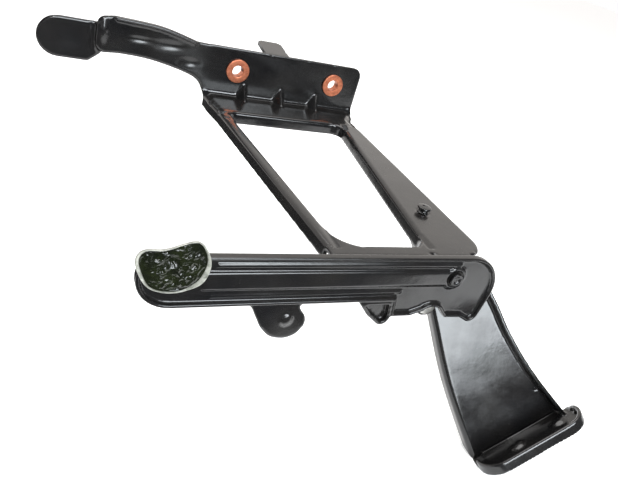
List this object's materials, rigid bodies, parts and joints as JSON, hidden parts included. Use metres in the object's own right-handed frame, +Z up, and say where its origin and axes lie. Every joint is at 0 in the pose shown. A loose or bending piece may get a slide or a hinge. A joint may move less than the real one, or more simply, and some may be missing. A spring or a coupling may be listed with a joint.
{
  "type": "pressed steel jack bracket",
  "caption": "Bolt-on pressed steel jack stand: bushed head plate, windowed frame, splayed leg with a rolled foot, stepping lever, and an arm that folds up on a pin.",
  "frame": {"origin": "midway between the two bolt axes, on the mounting face formed by the rear ends of the bushes", "axes": "X to the right along the bolt line, +Y along the bolts towards the vehicle, +Z up"},
  "size_m": [0.3847, 0.3791, 0.2146],
  "materials": {
    "black_paint": "gloss black enamel over pressed steel",
    "copper_bush": "copper plated, satin",
    "zinc": "dull zinc",
    "pad_rubber": "glossy wrinkled black-green moulding",
    "pad_shell": "worn enamel"
  },
  "bodies": {
    "frame": {"head_plate": "black_paint", "left_strut": "black_paint", "right_side_plate": "black_paint", "front_wall": "black_paint", "pivot_doubler": "black_paint", "right_leg": "black_paint", "foot_plate": "black_paint", "step_lever": "black_paint", "lever_paddle": "black_paint", "rear_tab": "black_paint", "left_bush": "copper_bush", "right_bush": "copper_bush", "spring_stud": "black_paint", "stop_rivet": "zinc", "pivot_pin": "black_paint", "pivot_washer": "zinc", "back_washer": "zinc"},
    "arm": {"arm_plate": "black_paint", "arm_strap": "black_paint", "arm_sleeve": "zinc", "arm_lug": "black_paint", "stop_stud": "black_paint", "ear_tab": "black_paint", "pad_cup": "pad_shell", "foot_pad": "pad_rubber", "pad_rivet": "zinc"}
  },
  "joints": [
    {"name": "arm_pivot", "type": "hinge", "parent": "frame", "child": "arm", "pos_m": [0.036, -0.278, -0.03825], "axis": [0, 1, 0], "range_deg": [0, 75]}
  ]
}
